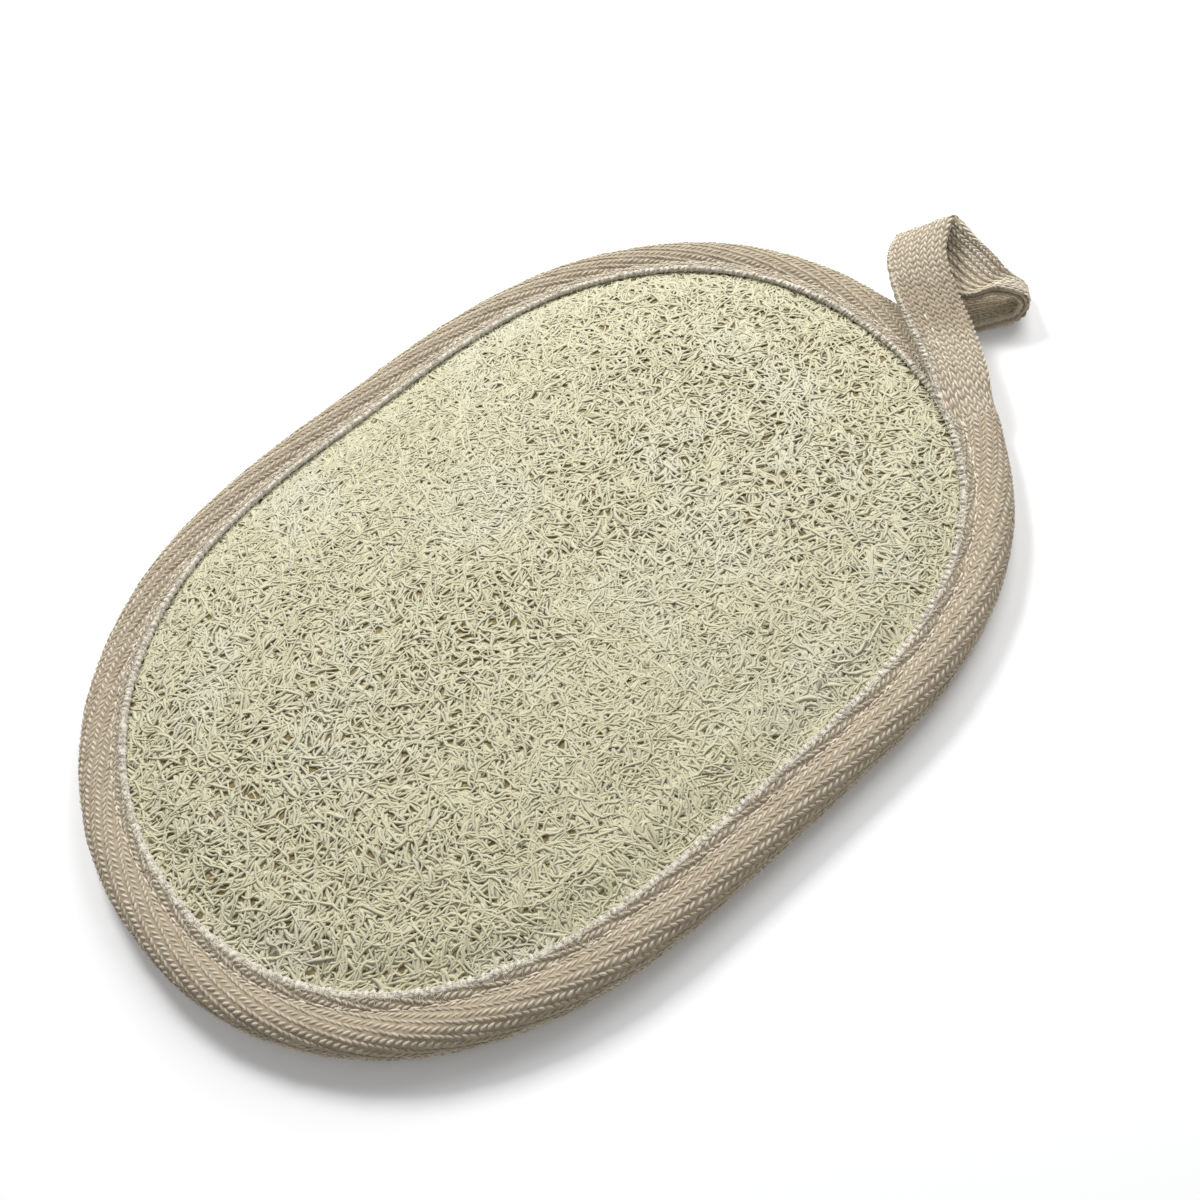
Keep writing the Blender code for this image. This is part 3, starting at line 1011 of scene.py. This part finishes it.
@dataclass(frozen=True)
class Selvedge:
    """Fuzzy edge of a tape: slanting beads of weft yarn over a core, with loose hairs.

    Its methods take the face of a cloth, where the edge is across it, and 1 or -1 for the way from the edge
    onto the face. A bead reaches from the first distance inside the edge to the second.
    """

    pitch: float = 1.2 * MM
    reach: tuple[float, float] = (0.8 * MM, -0.3 * MM)
    slant: float = 0.45 * MM
    half_width: float = 0.66 * MM
    half_height: float = 0.1 * MM
    rings: int = 5
    rise: float = 0.1 * MM
    dive: float = 0.6 * MM
    start_shares: tuple[float, float] = (0.8, 1.15)
    girth: tuple[float, float] = (0.7, 1.25)
    tip_width: float = 0.45
    tip_margin: float = 0.04
    roundness: float = 0.7
    pitch_jitter: float = 0.16
    jitter: float = 0.05 * MM
    tone: tuple[float, float] = (0.6, 0.14)
    core_margin: float = 0.1 * MM
    core_height: float = 0.24 * MM
    core_sink: float = 0.17 * MM
    core_step: float = 2.0 * MM
    core_cells: tuple[int, int] = (12, 8)
    core_tone: float = 0.45
    hairs_a_bead: int = 8
    hair_bend: float = 1.2
    hair_length: tuple[float, float] = (0.5 * MM, 1.1 * MM)
    hair_reach: tuple[float, float] = (-0.2 * MM, 1.2 * MM)
    hair_lift: float = 0.16 * MM
    hair_rise: float = 0.3 * MM
    hair_radius: float = 0.045 * MM
    hair_tone: tuple[float, float] = (0.5, 1.0)
    seed: int = 9

    def makers(self) -> tuple[tuple[Callable[..., bpy.types.Object], str], ...]:
        """What makes each of the edge's pieces, with a word for its name."""
        return (self.core, "piping"), (self.beads, "selvedge"), (self.hairs, "hairs")

    def core(self, name: str, ground: Ground, edge: float, inward: int) -> bpy.types.Object:
        """Lays padding inside the beads, so that no dark cloth shows between them.

        Args:
            name: Name of the new object.
            ground: The face of the cloth.
            edge: Where the edge is across it.
            inward: The way onto the face.

        Returns:
            The padding.
        """
        start, end = self.reach
        middle, reach = edge + inward * (start + end) / 2, (start - end) / 2 + self.core_margin

        def wrap(along: Array, across: Array) -> Array:
            """Points of the padding, by shares along and round it."""
            turn = 2 * math.pi * across
            height = self.core_height * np.sin(turn) - self.core_sink * (1 - np.cos(turn))
            return ground.above(along * ground.length, middle + inward * reach * np.cos(turn), height)

        least, round_it = self.core_cells
        made = cloth_grid(name, wrap, (max(round(ground.length / self.core_step), least), round_it))
        rest_on_floor(made)
        mark(made, "tone", np.full(len(made.data.vertices), self.core_tone))
        return made

    def beads(self, name: str, ground: Ground, edge: float, inward: int) -> bpy.types.Object:
        """Wraps beads over an edge of a cloth.

        Args:
            name: Name of the new object.
            ground: The face of the cloth.
            edge: Where the edge is across it.
            inward: The way onto the face.

        Returns:
            One object with all beads, with their tones.
        """
        count = round(ground.length / self.pitch)
        dice = Dice(self.seed, count)
        middle = (np.arange(count)[:, None] + dice.about(0, self.pitch_jitter)) * ground.length / count
        t = np.linspace(0, 1, self.rings)[None, :]
        run = middle + (2 * t - 1) * self.slant + dice.about(0, self.jitter)
        start, end = self.reach
        across = edge + inward * (start * dice.between(*self.start_shares) + (end - start) * t)
        bulge = np.sin(math.pi * (self.tip_margin + (1 - 2 * self.tip_margin) * t)) ** self.roundness
        height = self.rise * bulge - self.dive * t**3 + dice.about(0, self.jitter)
        points, up = ground.raised(run, across, height)
        width = self.half_width * dice.between(*self.girth) * (self.tip_width + (1 - self.tip_width) * bulge)
        made = strands(name, points, up, width, width * self.half_height / self.half_width, sides=5)
        tint(made, "tone", np.clip(dice.about(*self.tone), 0, 1))
        return made

    def hairs(self, name: str, ground: Ground, edge: float, inward: int) -> bpy.types.Object:
        """Strews loose hairs along an edge of a cloth.

        Args:
            name: Name of the new object.
            ground: The face of the cloth.
            edge: Where the edge is across it.
            inward: The way onto the face.

        Returns:
            One object with all hairs, with their tones.
        """
        dice = Dice(self.seed + 1, round(ground.length / self.pitch) * self.hairs_a_bead)
        t = np.linspace(0, 1, 3)[None, :]
        root = dice.between(0, ground.length)
        turn = dice.between(0, 2 * math.pi) + t * dice.about(0, self.hair_bend)
        step = dice.between(*self.hair_length) / 2
        across = edge + inward * dice.between(*self.hair_reach) + np.cumsum(np.sin(turn) * step, axis=1)
        height = self.hair_lift + dice.between(0, self.hair_rise) * np.sin(math.pi * t)
        points, up = ground.raised(root + np.cumsum(np.cos(turn) * step, axis=1), across, height)
        thin = np.full(points.shape[:2], self.hair_radius)
        made = strands(name, points, up, thin, thin, sides=3)
        tint(made, "tone", dice.between(*self.hair_tone))
        return made


@dataclass(frozen=True)
class Seam:
    """Run of separate stitches that dive into the cloth at both ends."""

    pitch: float = 3.3 * MM
    half_length: float = 1.1 * MM
    radius: float = 0.18 * MM
    dive: float = 0.75 * MM
    rings: int = 5
    thinning: float = 0.35
    pitch_jitter: float = 0.03
    length_shares: tuple[float, float] = (0.88, 1.08)
    jitter: float = 0.08 * MM
    tone: tuple[float, float] = (0.45, 1.0)
    seed: int = 4

    def stitches(self, name: str, ground: Ground, across: float, lift: float) -> bpy.types.Object:
        """Sews along the face of a cloth.

        Args:
            name: Name of the new object.
            ground: The face.
            across: Where the seam runs across it.
            lift: Height of the thread over it.

        Returns:
            One object with all stitches, with their tones.
        """
        count = round(ground.length / self.pitch)
        dice = Dice(self.seed, count)
        middle = (np.arange(count)[:, None] + 0.5 + dice.about(0, self.pitch_jitter)) * ground.length / count
        t = np.linspace(-1, 1, self.rings)[None, :]
        run = middle + t * self.half_length * dice.between(*self.length_shares)
        spread = across + dice.about(0, self.jitter) + t * dice.about(0, self.jitter)
        points, up = ground.raised(run, spread, lift - self.dive * np.abs(t) ** 4)
        girth = self.radius * (1 - self.thinning * np.abs(t) ** 3) * np.ones_like(middle)
        made = strands(name, points, up, girth, girth, sides=5)
        tint(made, "tone", dice.between(*self.tone))
        return made


@dataclass
class BindingTape:
    """The tape folded over the pad's edge and sewn down.

    Its section goes from the upper selvedge to the lower one, in millimetres in from the rim and up. Each
    ripple has its waves along and across, in radians a metre, and its start.
    """

    outline: Outline
    # The ring's weave gets painted light and shade on the arms of each V, and painted shade towards the rim.
    weave: Herringbone = Herringbone(column=1.8 * MM, pitch=1.15 * MM, bias=0.15, painted_arm_shade=0.14, painted_rim_shade=0.75)
    # Painted light and shade on the arms of each V.
    back_weave: Herringbone = Herringbone(
        column=1.8 * MM, pitch=1.15 * MM, bias=0.15, painted_arm_shade=0.14, rings=3, seed=5
    )
    selvedge: Selvedge = Selvedge()
    back_selvedge: Selvedge = Selvedge(hairs_a_bead=2, seed=10)
    seam: Seam = Seam()
    section: tuple[tuple[float, float], ...] = (
        (8.7, 5.45), (7.4, 5.35), (6.2, 4.85), (4.8, 5.6), (2.6, 5.85), (0.9, 4.9), (0.5, 3.2),
        (0.9, 1.5), (2.6, 0.55), (4.8, 0.65), (6.2, 1.5), (7.4, 0.65), (8.7, 0.55),
    )
    samples: int = 400
    section_step: float = 0.3 * MM
    thickness: float = 0.8 * MM
    weave_margin: float = 1.1 * MM
    seam_inset: float = 6.2 * MM
    seam_lift: float = 0.25 * MM
    cells: tuple[int, int] = (216, 24)
    ripple: float = 0.1 * MM
    ripples: tuple[tuple[float, float, float], ...] = ((190, 90, 0), (83, -140, 1))
    swell: float = 0.7 * MM
    swell_angle: float = -0.415
    swell_spread: float = 0.06
    swell_depth: float = 5.0 * MM

    def __post_init__(self) -> None:
        """Works out the tape's length and how far round the section each of its points lies."""
        at = np.linspace(0, len(self.section) - 1, self.samples)
        self.curve = smooth_through(np.array(self.section) * MM, at)
        self.walk = walk_along(self.curve)
        self.width = float(self.walk[-1])
        self.length = self.outline.length()

    def section_at(self, across: Array) -> Array:
        """Inset and height of the section at metres from the upper selvedge."""
        return np.stack([np.interp(across, self.walk, values) for values in self.curve.T], axis=-1)

    def place(self, along: Array, across: Array, lift: Array) -> Array:
        """Finds points of the tape.

        Args:
            along: Metres round the pad.
            across: Metres round the section from the upper selvedge.
            lift: Metres out from the middle of the cloth.

        Returns:
            One point for each.
        """
        inset, height = np.moveaxis(self.section_at(across), -1, 0)
        ahead, behind = (self.section_at(across + step) for step in (self.section_step, -self.section_step))
        way_in, way_up = np.moveaxis(unit(ahead - behind), -1, 0)
        beyond = np.minimum(across, 0) + np.maximum(across - self.width, 0)
        ripples = [np.sin(along * a + across * b + start) for a, b, start in self.ripples]
        lift = lift + self.ripple * sum(ripples) / len(ripples)
        angle = self.outline.angle_at(along / self.length)
        aside = (angle - self.swell_angle + math.pi) % (2 * math.pi) - math.pi
        swell = self.swell * np.exp(-((aside / self.swell_spread) ** 2)) * np.clip(1 - inset / self.swell_depth, 0, 1)
        spot = self.outline.inside(angle, inset - swell + way_up * lift + way_in * beyond)
        return np.concatenate([spot, (height - way_in * lift + way_up * beyond)[..., None]], axis=-1)

    def whole(self, along: Array, across: Array) -> Array:
        """Points of the middle of the cloth, by shares along and across."""
        return self.place(along % 1 * self.length, across * self.width, 0 * along)

    def across_at(self, inset: float, face: Face) -> float:
        """Finds where the tape passes an inset.

        Args:
            inset: Distance in from the rim.
            face: The side of the pad.

        Returns:
            Metres from the upper selvedge.
        """
        half = len(self.walk) // 2
        part = slice(0, half) if face is Face.FRONT else slice(half, None)
        nearest = int(np.argmin(np.abs(self.curve[part, 0] - inset)))
        return float(self.walk[part][nearest])

    def build(self) -> list[bpy.types.Object]:
        """Builds the tape's cloth, weave, selvedges and seams.

        Returns:
            The cloth first, then what lies on it.
        """
        cloth = walled_cloth("tape_cloth", self.whole, self.cells, self.thickness)
        rest_on_floor(cloth)
        dress(cloth, SHADED_TAPE_GROUND.material(), Slot.TAPE, "binding_tape")
        ground = Ground(self.place, self.length, self.thickness / 2)
        yarn, edge_yarn, thread = TAPE_YARN.material(), SELVEDGE_YARN.material(), SEAM_YARN.material()
        middle, end = self.width / 2, self.width - self.weave_margin
        jobs = [
            (self.weave.floats, "weave_front", yarn, ((self.weave_margin, middle),)),
            (self.back_weave.floats, "weave_back", yarn, ((middle, end),)),
        ]
        edges = ((self.selvedge, Face.FRONT, 0.0, 1), (self.back_selvedge, Face.BACK, self.width, -1))
        for selvedge, face, edge, inward in edges:
            jobs += [(make, f"{kind}_{face.value}", edge_yarn, (edge, inward)) for make, kind in selvedge.makers()]
        pieces = [
            dress(make(f"tape_{kind}", ground, *where), look, Slot.TAPE, "binding_tape")
            for make, kind, look, where in jobs
        ]
        for face in Face:
            across = self.across_at(self.seam_inset, face)
            piece = self.seam.stitches(f"seam_stitches_{face.value}", ground, across, self.seam_lift)
            pieces.append(dress(piece, thread, Slot.THREAD, f"seam_thread_{face.value}"))
        return [cloth, *pieces]


@dataclass
class HangingLoop:
    """The end of the tape, folded to half its width, which turns over into a loop.

    At its start it lies in the binding tape's own face, and it parts from it along the first stretch. Each stop
    has the two edges of the folded strip in millimetres, and how far open its fold is.
    """

    binding: BindingTape
    # Painted light and shade along the loop: the near leg is darkened where it rises, and the rest, the far leg most,
    # is made pale.
    weave: Herringbone = Herringbone(
        tones=((0.0, 0.9), (0.18, 0.8), (0.23, 0.05), (0.31, 0.05), (0.36, 0.7), (0.42, 0.9), (0.5, 1.0), (1.0, 1.0)),
        seed=8,
    )
    selvedge: Selvedge = Selvedge(reach=(0.65 * MM, -0.2 * MM), half_width=0.5 * MM, pitch=1.0 * MM, seed=15)
    rim: Selvedge = Selvedge(reach=(0.45 * MM, -0.12 * MM), half_width=0.42 * MM, pitch=0.62 * MM, seed=16)
    seam: Seam = Seam(seed=6)
    stops: tuple[tuple[tuple[float, float, float], tuple[float, float, float], float], ...] = (
        ((70.9, -28.2, 6.7), (76.6, -36.7, 6.2), 0.1),
        ((73.8, -24.5, 7.1), (79.6, -32.7, 6.8), 0.5),
        ((77.7, -18.6, 7.4), (84.3, -26.5, 7.3), 0.8),
        ((81.3, -12.7, 7.7), (88.7, -20.2, 8.0), 1.0),
        ((85.6, -5.4, 8.8), (92.8, -13.3, 9.4), 1.0),
        ((90.6, 1.0, 10.4), (97.2, -6.8, 12.0), 1.0),
        ((96.3, 3.3, 10.6), (103.8, -3.4, 13.6), 1.0),
        ((97.6, 0.4, 8.0), (104.0, -9.1, 11.2), 1.0),
        ((94.8, -8.8, 7.0), (104.0, -13.1, 9.2), 1.0),
        ((94.4, -14.5, 7.4), (104.2, -16.0, 6.9), 1.0),
        ((98.0, -18.3, 8.6), (105.6, -18.0, 4.6), 1.0),
        ((101.5, -22.0, 6.0), (107.0, -18.0, 2.0), 1.0),
        ((100.5, -22.0, 2.6), (107.6, -16.0, 1.2), 1.0),
        ((97.2, -19.2, 1.4), (105.7, -14.3, 1.2), 1.0),
        ((90.7, -15.0, 1.2), (98.4, -7.6, 1.2), 1.0),
        ((86.5, -13.6, 2.3), (87.8, -4.6, 2.3), 1.0),
    )
    samples: int = 600
    least_opening: float = 0.05
    half_gap: float = 0.45 * MM
    thickness: float = 0.7 * MM
    weave_margin: float = 0.3 * MM
    seam_across: float = 3.1 * MM
    seam_lift: float = 0.2 * MM
    fuzzy_share: float = 0.26
    start_angle: float = -0.462
    parting: float = 10.0 * MM
    face_width: float = 10.2 * MM
    sink: float = 0.25 * MM
    rib: float = 0.2 * MM
    way_step: float = 1.0 * MM
    cells: tuple[int, int] = (88, 54)

    def __post_init__(self) -> None:
        """Works out the edges at even distances along the loop."""
        at = np.linspace(0, len(self.stops) - 1, self.samples)
        self.left, self.right = (smooth_through(np.array([stop[k] for stop in self.stops]) * MM, at) for k in (0, 1))
        self.middle = (self.left + self.right) / 2
        self.walk = walk_along(self.middle)
        self.length = float(self.walk[-1])
        opening = smooth_through(np.array([[stop[2]] for stop in self.stops]), at)[:, 0]
        self.opening = np.clip(opening, self.least_opening, 1)
        self.width = 2 * float(np.mean(np.linalg.norm(self.right - self.left, axis=1)))
        angles, length = self.binding.outline.walked()
        self.start = float(np.interp(self.start_angle % (2 * math.pi), angles, length))

    def read(self, table: Array, along: Array) -> Array:
        """Points of a line along the loop, at metres along it."""
        return np.stack([np.interp(along, self.walk, values) for values in table.T], axis=-1)

    def place(self, along: Array, across: Array, lift: Array) -> Array:
        """Finds points of the doubled tape.

        Args:
            along: Metres along the loop.
            across: Metres over the top, round the fold and back underneath.
            lift: Metres out from the middle of the cloth.

        Returns:
            One point for each.
        """
        left, right = self.read(self.left, along), self.read(self.right, along)
        steps = (self.way_step, -self.way_step)
        ahead, behind = (self.read(self.middle, np.clip(along + step, 0, self.length)) for step in steps)
        reach = np.linalg.norm(right - left, axis=-1)
        side = unit(right - left)
        up = unit(np.cross(side, unit(ahead - behind)))
        radius = self.half_gap * np.interp(along, self.walk, self.opening)
        flat = reach - radius
        walked = across / self.width * (2 * flat + math.pi * radius)
        turn = np.clip((walked - flat) / radius, 0, math.pi)
        back = np.maximum(walked - flat - math.pi * radius, 0)
        out_x, out_z = np.sin(turn), np.cos(turn)
        x, z = np.minimum(walked, flat) + radius * out_x - back, radius * out_z
        lift = lift + self.rib * (turn / math.pi) * np.cos(2 * math.pi * across / self.weave.column)
        free = left + side * (x + out_x * lift)[..., None] + up * (z + out_z * lift)[..., None]
        low = z - radius + out_z * lift - self.sink
        laid = self.binding.place(self.start + along, x / reach * self.face_width, low)
        return laid + (free - laid) * eased(along / self.parting)[..., None]

    def whole(self, along: Array, across: Array) -> Array:
        """Points of the middle of the cloth, by shares along and across."""
        return self.place(along * self.length, across * self.width, 0 * along)

    def place_beyond(self, along: Array, across: Array, lift: Array) -> Array:
        """Points of the doubled tape, metres on from where its fuzzy selvedge ends."""
        return self.place(along + self.fuzzy_share * self.length, across, lift)

    def build(self) -> list[bpy.types.Object]:
        """Builds the loop's cloth, weave, selvedge and stitches.

        Returns:
            The cloth first, then what lies on it.
        """
        cloth = walled_cloth("loop_cloth", self.whole, self.cells, self.thickness)
        dress(cloth, SHADED_TAPE_GROUND.material(), Slot.TAPE, "hanging_loop")
        yarn, edge_yarn, thread = TAPE_YARN.material(), SELVEDGE_YARN.material(), SEAM_YARN.material()
        lift, fuzzy = self.thickness / 2, self.fuzzy_share * self.length
        near, far = Ground(self.place, fuzzy, lift), Ground(self.place_beyond, self.length - fuzzy, lift)
        across = (self.weave_margin, self.width - self.weave_margin)
        jobs = [(self.weave.floats, "weave", yarn, (Ground(self.place, self.length, lift), across))]
        jobs += [(make, kind, edge_yarn, (near, 0.0, 1)) for make, kind in self.selvedge.makers()]
        for end, edge, inward in (("edge", 0.0, 1), ("hem", self.width, -1)):
            for make, kind in ((self.rim.core, "piping"), (self.rim.beads, "beads")):
                jobs.append((make, f"{end}_{kind}", yarn, (far, edge, inward)))
        pieces = [
            dress(make(f"loop_{kind}", *where), look, Slot.TAPE, "hanging_loop") for make, kind, look, where in jobs
        ]
        piece = self.seam.stitches("loop_stitches", near, self.seam_across, self.seam_lift)
        pieces.append(dress(piece, thread, Slot.THREAD, "seam_thread_front"))
        return [cloth, *pieces]


# Back


@dataclass
class TerryBack:
    """The cloth on the back: a ground sheet with small loops of yarn."""

    outline: Outline
    top: Profile = Profile(((1.5, 2.5), (2.6, 2.8), (8.7, 2.8), (18, 1.9), (66, 1.9)))
    floor: Profile = Profile(((1.5, 2.5), (2.6, 2.2), (8.9, 2.2), (14, 0.0), (66, 0.0)))
    edge: float = 5.0 * MM
    row_shares: tuple[float, ...] = (0.0, 0.25, 0.5, 0.7, 0.84, 0.92, 1.0)
    cells_round: int = 96
    least_thickness: float = 0.4 * MM
    pile: float = 1.1 * MM
    loops: int = 2900
    loops_inset: float = 9.6 * MM
    rings: int = 4
    yarn: float = 0.26 * MM
    half_span: tuple[float, float] = (0.5 * MM, 0.8 * MM)
    lean: float = 0.45 * MM
    root: float = 0.1 * MM
    tallness: tuple[float, float] = (0.75, 1.0)
    girth: tuple[float, float] = (0.8, 1.05)
    tone: tuple[float, float] = (0.6, 0.2)
    seed: int = 12

    def ground(self) -> bpy.types.Object:
        """Builds the ground sheet, closed at its edge.

        Returns:
            The sheet, whose rows go from the middle over the top and back underneath.
        """
        stops = np.linspace(0, 1, len(self.row_shares))

        def place(along: Array, across: Array) -> Array:
            """Points of the sheet, by shares of the way round and over its rows."""
            angle = 2 * math.pi * (along % 1)
            share = np.interp(1 - np.abs(2 * across - 1), stops, self.row_shares)
            spine = self.outline.spine(angle)
            spot = spine + (self.outline.inside(angle, self.edge) - spine) * share[:, None]
            inset = self.outline.inset_of(*spot.T)
            upper = self.top.at(inset)
            lower = np.minimum(self.floor.at(inset) + self.pile, upper - self.least_thickness)
            return np.column_stack([spot, np.where(across > 0.5, lower, upper)])

        return cloth_grid("terry_cloth", place, (self.cells_round, 2 * (len(stops) - 1)))

    def pile_loops(self) -> bpy.types.Object:
        """Lays the loops of yarn, each leaning its own way.

        Returns:
            One object with all of them.
        """
        dice = Dice(self.seed, self.loops)
        spot = self.outline.scatter(self.loops, self.loops_inset, 0.5)
        turn = dice.between(0, 2 * math.pi)
        t = np.linspace(-1, 1, self.rings)[None, :]
        half = dice.between(*self.half_span)
        lean = dice.rng.normal(0, self.lean, (self.loops, 2, 1)) * (1 - t**2)[:, None, :]
        x = spot[:, :1] + np.cos(turn) * half * t + lean[:, 0]
        y = spot[:, 1:] + np.sin(turn) * half * t + lean[:, 1]
        drop = (self.pile - self.yarn * 1.05) * (1 - np.abs(t) ** 2.2) - self.root
        base = self.floor.at(self.outline.inset_of(x, y)) + self.pile
        path = np.stack([x, y, base - drop * dice.between(*self.tallness)], axis=-1)
        girth = self.yarn * dice.between(*self.girth) * np.ones_like(t)
        down = np.broadcast_to(np.array([0, 0, -1.0]), path.shape)
        made = strands("terry_loops", path, down, girth, girth, sides=3)
        tint(made, "tone", np.clip(dice.about(*self.tone), 0, 1))
        return made

    def build(self) -> list[bpy.types.Object]:
        """Builds the ground and its loops.

        Returns:
            The ground first.
        """
        ground = dress(self.ground(), TERRY_GROUND.material(), Slot.CLOTH, "backing_cloth")
        loops = dress(self.pile_loops(), TERRY_YARN.material(), Slot.CLOTH, "backing_cloth")
        return [ground, loops]


# Studio


@dataclass(frozen=True)
class SoftLight:
    """A square soft light: where it stands, its side and its power."""

    name: str
    spot: tuple[float, float, float]
    side: float
    power: float

    def build(self) -> None:
        """Hangs the light so that it faces the pad."""
        lamp = bpy.data.lights.new(self.name, "AREA")
        lamp.shape, lamp.size, lamp.energy = "SQUARE", self.side, self.power
        made = bpy.data.objects.new(self.name, lamp)
        made.location = self.spot
        made.rotation_euler = (-Vector(self.spot)).to_track_quat("-Z", "Y").to_euler()
        bpy.context.scene.collection.objects.link(made)


@dataclass(frozen=True)
class Studio:
    """The camera at the photograph's place, a pale floor and soft light.

    The camera turns about a point of the pad: its bearing and elevation, the roll of the picture, the
    distance, and how far the point lies off the picture's middle.
    """

    lens: float = 40.51
    sensor: float = 36.0
    clip: tuple[float, float] = (0.01, 50.0)
    distance: float = 235.95 * MM
    bearing: float = 0.5001
    elevation: float = 0.9644
    roll: float = -0.2897
    off_centre: tuple[float, float] = (-8.4974 * MM, 4.2798 * MM)
    floor_size: float = 6.0
    sky: Colour = (0.93, 0.94, 0.96)
    sky_strength: float = 0.36
    lights: tuple[SoftLight, ...] = (
        SoftLight("high", (0.35, 0.09, 0.33), 0.30, 1.45),
        SoftLight("key", (0.12, 0.42, 0.41), 0.16, 2.9),
    )

    def camera(self) -> None:
        """Makes the camera, level with the photograph's view of the pad."""
        c, s = math.cos(self.elevation), math.sin(self.elevation)
        bearing = Matrix.Rotation(-self.bearing, 3, "Z")
        across, upright = Vector((1, 0, 0)), Vector((0, s, c))
        tilt = (math.cos(self.roll), math.sin(self.roll))
        right = bearing @ (tilt[0] * across + tilt[1] * upright)
        up = bearing @ (tilt[0] * upright - tilt[1] * across)
        back = -(bearing @ Vector((0, c, -s)))
        x, y = self.off_centre
        spot = bearing @ Vector((-x, -self.distance * c - y, self.distance * s))
        lens = bpy.data.cameras.new("camera")
        lens.lens, lens.sensor_width = self.lens, self.sensor
        lens.clip_start, lens.clip_end = self.clip
        made = bpy.data.objects.new("camera", lens)
        turned = Matrix((right, up, back)).transposed().to_4x4()
        made.matrix_world = Matrix.Translation(spot) @ turned
        bpy.context.scene.collection.objects.link(made)
        bpy.context.scene.camera = made

    def build(self) -> None:
        """Builds the camera, the floor, the sky and the lights."""
        self.camera()
        bm = bmesh.new()
        bmesh.ops.create_grid(bm, x_segments=1, y_segments=1, size=self.floor_size / 2)
        floor = to_object(bm, "floor")
        floor.data.materials.append(FloorFinish().material())
        for light in self.lights:
            light.build()
        world = bpy.data.worlds.new("pale_sky")
        world.use_nodes = True
        sky = world.node_tree.nodes["Background"]
        sky.inputs["Color"].default_value = (*self.sky, 1)
        sky.inputs["Strength"].default_value = self.sky_strength
        bpy.context.scene.world = world
        bpy.context.scene.view_settings.view_transform = "Standard"


def main() -> None:
    """Builds the studio and the pad, piece by piece."""
    logging.basicConfig(level=logging.INFO, format="%(message)s")
    outline = Outline()
    Studio().build()
    LoofahMat(outline).build(LoofahFinish())
    binding = BindingTape(outline)
    binding.build()
    HangingLoop(binding).build()
    TerryBack(outline).build()


if __name__ == "__main__":
    main()
